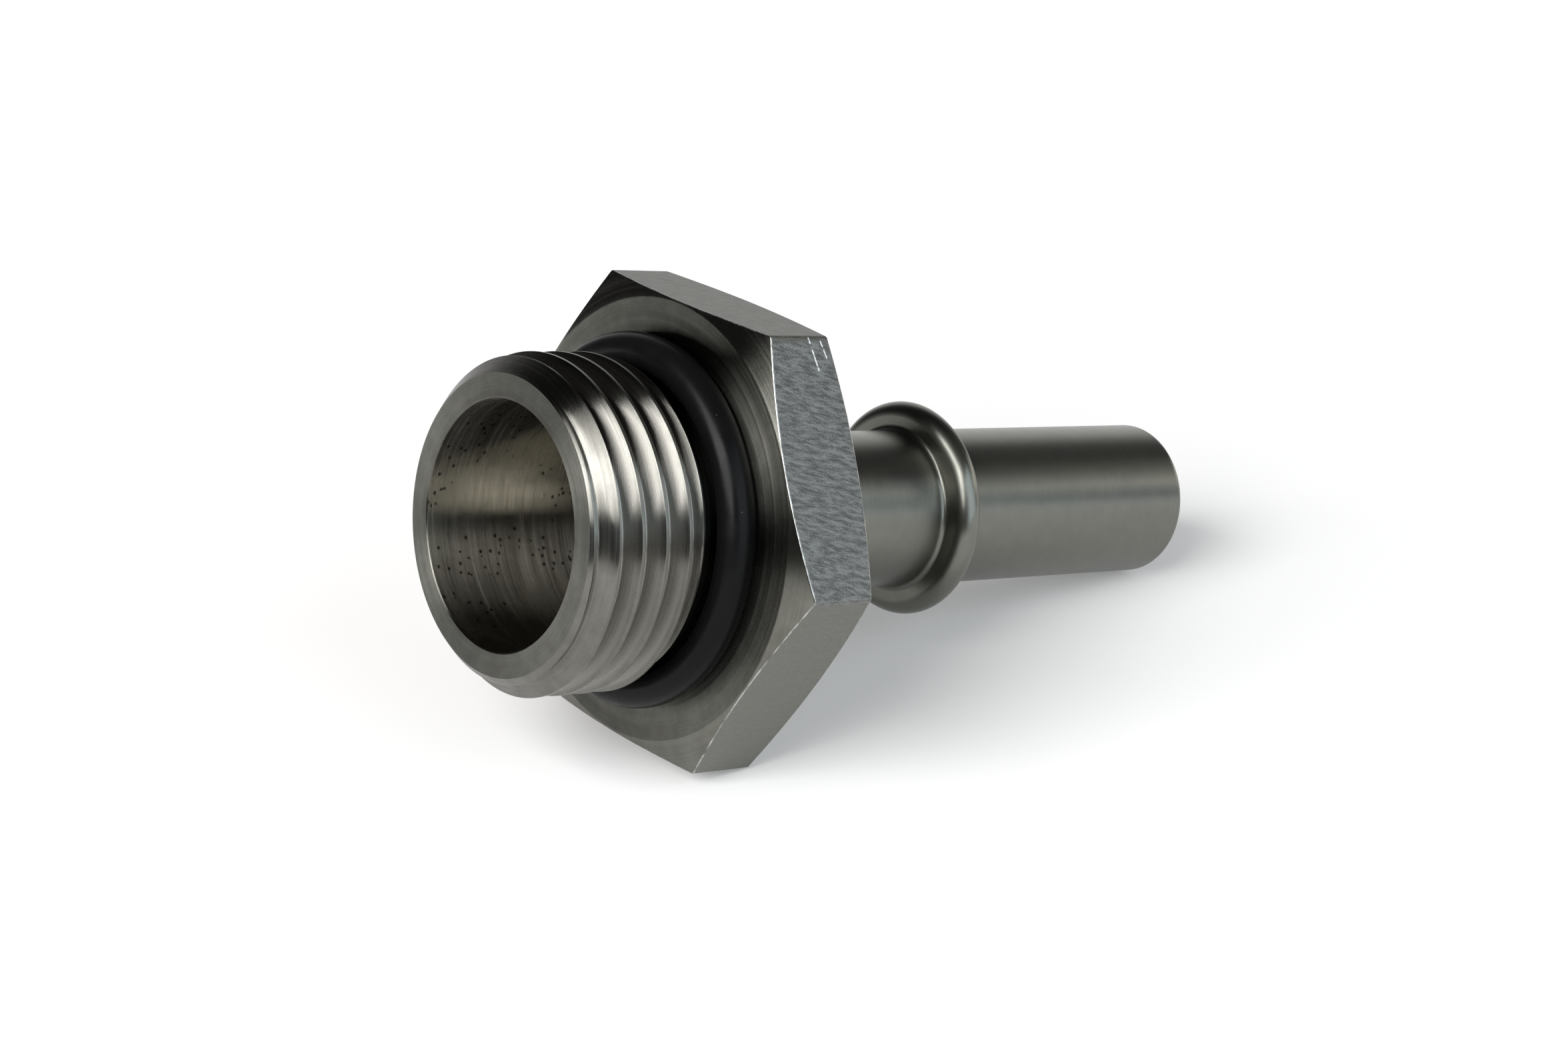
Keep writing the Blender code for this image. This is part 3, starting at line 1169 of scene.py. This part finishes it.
@dataclass(frozen=True)
class Studio:
    """White floor and surroundings, soft lamps, a dark tent for the reflections and the camera.

    The floor's colour darkens between the two distances of fade, and its own light, where 1 is
    white, rises from the first glow to the second between those of glow_fade.
    """

    camera_place: Triple = (-0.10312, -0.12288, 0.07856)
    camera_way: Triple = (0.57632, 0.71511, -0.39561)
    lens: float = 66.81
    sensor: float = 36.0
    clip: Span = (0.005, 20.0)
    floor_size: float = 3.2
    floor_color: Color = (0.70, 0.69, 0.68)
    far_color: Color = (0.02, 0.02, 0.02)
    fade: Span = (0.05, 0.32)
    glow: Span = (0.2, 1.0)
    glow_fade: Span = (0.03, 0.25)
    floor_rough: float = 0.9
    world_light: float = 0.25
    target: Triple = (0.0, 0.0, 0.012)
    lamps: tuple[SoftBox, ...] = (
        SoftBox("key_lamp", 189.0, 38.0, 46.0, 34.0, 9.5),
        SoftBox("sky_lamp", -78.0, 25.0, 60.0, 46.0, 1.9, (0.80, 0.92, 1.0)),
        SoftBox("low_lamp", -12.0, 9.0, 32.0, 12.0, 2.5, (1.0, 0.95, 0.86)),
    )

    def camera(self) -> None:
        """Place the camera at the photograph's viewing angle."""
        data = bpy.data.cameras.new("camera")
        data.lens = self.lens
        data.sensor_width = self.sensor
        data.sensor_fit = "HORIZONTAL"
        data.clip_start, data.clip_end = self.clip
        item = placed("camera", data)
        item.location = self.camera_place
        item.rotation_euler = turned_to(Vector(self.camera_way))
        bpy.context.scene.camera = item

    def seen_share(self, tree: NodeTree) -> Socket:
        """1 for rays from the camera, from gloss and through glass, else 0."""
        path = tree.add("ShaderNodeLightPath").outputs
        seen = tree.sum("MAXIMUM", path["Is Camera Ray"], path["Is Glossy Ray"])
        return tree.sum("MAXIMUM", seen, path["Is Transmission Ray"])

    def floor(self) -> None:
        """Lay a white floor, lit by the lamps near the fitting and by its own light far off."""
        half = self.floor_size / 2
        mesh = bpy.data.meshes.new("floor")
        mesh.from_pydata([(-half, -half, 0), (half, -half, 0), (half, half, 0), (-half, half, 0)],
                         [], [(0, 1, 2, 3)])
        tree = NodeTree.of_material("white_floor")
        away = tree.vector_sum("LENGTH", tree.place())["Value"]
        color = tree.blend(tree.span(away, *self.fade), self.floor_color, self.far_color)
        glow = tree.span(away, *self.glow_fade, *self.glow)
        tree.shade({"Roughness": self.floor_rough, "Specular IOR Level": 0.0, "Base Color": color,
                    "Emission Color": opaque(WHITE),
                    "Emission Strength": tree.times(self.seen_share(tree), glow)})
        mesh.materials.append(tree.material)
        placed("floor", mesh)

    def world(self) -> None:
        """Surround the scene with white that lights it softly."""
        world = bpy.data.worlds.new("studio")
        world.use_nodes = True
        bpy.context.scene.world = world
        tree = NodeTree(world)
        strength = tree.span(self.seen_share(tree), 0.0, 1.0, self.world_light, 1.0)
        tree.shade({"Color": opaque(WHITE), "Strength": strength}, "Background")

    def build(self) -> None:
        """Set up the floor, the surroundings, the lamps and the camera."""
        self.camera()
        self.floor()
        self.world()
        DarkTent().build()
        for lamp in self.lamps:
            lamp.build(Vector(self.target))
        bpy.context.scene.view_settings.view_transform = "Standard"


STEELS: list[TurnedSteel | DrawnSteel] = [
    TurnedSteel("faced_steel", Finish.FACED, (0.138, 0.137, 0.121), (0.100, 0.099, 0.087),
                0.28, 9.0, 0.0020 * MM, 1.0),
    # The threaded steel's groove colour is painted light, lighter deep in the grooves.
    TurnedSteel("threaded_steel", Finish.THREADED, (0.19, 0.185, 0.167), (0.145, 0.142, 0.128),
                0.27, 20.0, 0.0010 * MM, 1.0, groove_painted_light_color=(0.25, 0.24, 0.22)),
    TurnedSteel("bored_steel", Finish.BORED, (0.35, 0.335, 0.29), (0.26, 0.249, 0.215),
                0.24, 17.0, 0.0008 * MM, 1.0, streak=0.12, pitted=0.33),
    DrawnSteel("drawn_bar_skin", Finish.DRAWN, (0.27, 0.276, 0.27), (0.135, 0.137, 0.132), 0.60),
    # Edge steel: its bright colour paints the highlight line along the flats' broken edges.
    TurnedSteel("edge_painted_highlight_steel", Finish.EDGE_PAINTED_HIGHLIGHT, (0.50, 0.50, 0.49), (0.12, 0.12, 0.11),
                0.25, 3.0, 0.002 * MM, streak=1.1),
    TurnedSteel("satin_stem_steel", Finish.SATIN, (0.185, 0.185, 0.164), (0.168, 0.168, 0.150),
                0.29, 6.0, 0.00003 * MM, 0.75, streak=0.6, spread=0.04),
    TurnedSteel("chamfered_steel", Finish.CHAMFERED, (0.178, 0.177, 0.157), (0.136, 0.135, 0.119),
                0.20, 7.0, 0.0016 * MM, 1.0),
    # Relief steel: its near black colour is painted shade in the groove under the ring.
    TurnedSteel("relief_painted_shade_steel", Finish.RELIEF_PAINTED_SHADE, (0.05, 0.05, 0.046), (0.035, 0.035, 0.032),
                0.22, 8.0, 0.002 * MM, 1.0),
]


def main() -> None:
    """Build the fitting, its studio and the camera, and report each piece."""
    steel = FittingBody()
    pose = steel.pose()
    log.info("tilt %.4f degrees, shift %.6f, %.6f", math.degrees(pose.tilt), pose.along, pose.up)
    for piece in (steel.build(pose, STEELS), RubberRing().build(steel, pose, MouldedRubber())):
        log.info("piece %s: %d faces", piece.name, len(piece.data.polygons))
    Studio().build()


if __name__ == "__main__":
    main()
